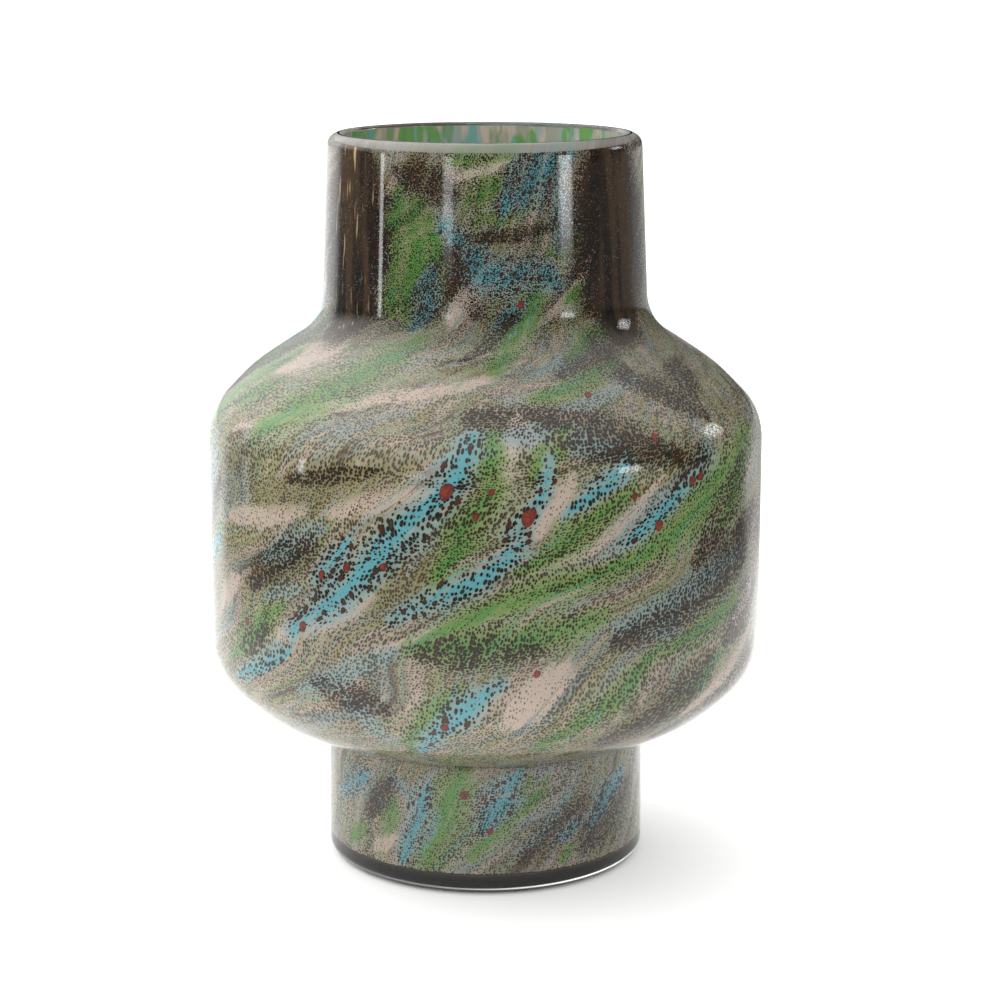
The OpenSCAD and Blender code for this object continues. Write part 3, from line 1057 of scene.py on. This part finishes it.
def make_dark_room():
    """The dark studio in front and at the sides, which only reflections see: the floor from a
    little way out, and a low wall. Behind the vase it is open, so that its edges turn white."""
    n = Nodes("dark_room")
    x, y, z = n.parts(n.here())
    squares = [n.math("POWER", value, 2.0) for value in (x, y)]
    away = n.math("SQRT", n.math("ADD", *squares))
    cloud = n.noise(n.place("", (5.0, 5.0, 5.0)))
    dark = n.mix(cloud, (0.010, 0.010, 0.010), (0.018, 0.018, 0.018))
    turn = n.turn(x, y)
    left = n.step(turn, math.radians(-133), math.radians(-120))
    right = n.step(turn, math.radians(120), math.radians(133))
    right = n.off(n.math("MULTIPLY", right, 0.24))
    low = n.math("MULTIPLY", n.step(z, 1.1, 0.3), 0.9)
    cover = n.math("MULTIPLY", n.math("MULTIPLY", left, right), low)
    both = n.add("ShaderNodeMixShader")
    n.put(both.inputs[0], n.math("MULTIPLY", n.step(away, 0.33, 0.60), cover))
    n.put(both.inputs[1], n.add("ShaderNodeBsdfTransparent").outputs[0])
    n.put(both.inputs[2], n.principled(Base_Color=dark, Roughness=0.9))
    sector("dark_room", -135, 165, DARK_ROOM, n.finish(both.outputs[0]))


def make_bright_floor():
    """The bright floor behind on the right, whose reflection is the pale haze down that side."""
    n = Nodes("bright_floor")
    x, y, _ = n.parts(n.here())
    turn = n.turn(x, y)
    start = n.step(turn, math.radians(126), math.radians(132))
    end = n.step(turn, math.radians(154), math.radians(136))
    light = n.add("ShaderNodeEmission")
    n.put(light.inputs["Strength"], n.math("MULTIPLY", n.math("MULTIPLY", start, end), 0.2))
    both = n.add("ShaderNodeAddShader")
    n.put(both.inputs[0], n.add("ShaderNodeBsdfTransparent").outputs[0])
    n.put(both.inputs[1], light.outputs[0])
    sector("bright_floor", 124, 164, BRIGHT_FLOOR, n.finish(both.outputs[0]))


def sector(name, start, end, steps, material):
    """Part of a ring round the vase, from start to end in degrees to the right of the front,
    through the (radius, height) steps. Only reflections see it, until its maker says more."""
    columns = math.ceil((end - start) / 6)
    verts, faces = [], []
    for k in range(columns + 1):
        a = math.radians(start + (end - start) * k / columns)
        verts += [(r * math.sin(a), -r * math.cos(a), z) for r, z in steps]
    for k in range(columns):
        for j in range(len(steps) - 1):
            v = len(steps) * k + j
            faces.append((v, v + 1, v + 1 + len(steps), v + len(steps)))
    ring = link(name, verts, faces, [material])
    reflect_only(ring)
    return ring


def reflect_only(piece):
    """Makes a stage object that only reflections see."""
    piece.visible_camera = False
    piece.visible_shadow = False
    piece.visible_transmission = False
    piece.visible_diffuse = False


def glow_card(name, turn, away, height, size, strength, broken):
    """An upright glowing card that faces the vase, soft at its edges and seen only in
    reflections. broken is the share of its light that comes in patches."""
    n = Nodes(name)
    x, _, z = n.parts(n.place("", (2 / size[0], 1.0, 2 / size[1])))
    glow = strength
    for value in (x, z):
        edge = n.step(n.math("ABSOLUTE", value), 1.0, 0.35)
        glow = n.math("MULTIPLY", edge, glow)
    patches = n.step(n.noise(n.place("", (26.0, 26.0, 26.0)), detail=3.0), 0.40, 0.60)
    share = n.math("ADD", n.math("MULTIPLY", patches, broken), 1 - broken)
    light = n.add("ShaderNodeEmission")
    n.put(light.inputs["Strength"], n.math("MULTIPLY", glow, share))
    w, h = size[0] / 2, size[1] / 2
    corners = [(-w, 0, -h), (w, 0, -h), (w, 0, h), (-w, 0, h)]
    glowing = link(name, corners, [(0, 1, 2, 3)], [n.finish(light.outputs[0])])
    a = math.radians(turn)
    glowing.location = (away * math.sin(a), -away * math.cos(a), height)
    glowing.rotation_euler = (0.0, 0.0, a)
    reflect_only(glowing)


def make_world():
    """A soft sky: dim at the horizon and to the right, brighter overhead and to the left, and
    brightest high up behind on the left."""
    world = bpy.data.worlds.new("studio")
    bpy.context.scene.world = world
    world.use_nodes = True
    tree = world.node_tree
    tree.nodes.clear()

    def node(kind, **settings):
        made = tree.nodes.new(kind)
        for key, value in settings.items():
            setattr(made, key, value)
        return made

    coords = node("ShaderNodeTexCoord")
    total = None
    for way, start, full, strength in SKY_LOBES:
        dot = node("ShaderNodeVectorMath", operation="DOT_PRODUCT")
        tree.links.new(coords.outputs["Generated"], dot.inputs[0])
        dot.inputs[1].default_value = way
        fade = node("ShaderNodeMapRange", interpolation_type="SMOOTHSTEP")
        fade.inputs["From Min"].default_value = start
        fade.inputs["From Max"].default_value = full
        fade.inputs["To Max"].default_value = strength
        tree.links.new(dot.outputs["Value"], fade.inputs["Value"])
        added = node("ShaderNodeMath", operation="ADD")
        tree.links.new(fade.outputs[0], added.inputs[0])
        if total is None:
            added.inputs[1].default_value = SKY_LEAST
        else:
            tree.links.new(total, added.inputs[1])
        total = added.outputs[0]
    back = node("ShaderNodeBackground")
    back.inputs["Color"].default_value = (1.0, 1.0, 1.0, 1.0)
    tree.links.new(total, back.inputs["Strength"])
    out = node("ShaderNodeOutputWorld")
    tree.links.new(back.outputs[0], out.inputs["Surface"])


def make_studio():
    """The floor, the backdrop, the sky and everything that only reflections see."""
    make_floor()
    make_backdrop()
    make_world()
    make_dark_room()
    make_bright_floor()
    for values in GLOW_CARDS:
        glow_card(*values)
    bpy.context.scene.view_settings.view_transform = "Standard"


make_camera()
make_studio()
make_lining()
make_veil()
make_chips()
make_casing()
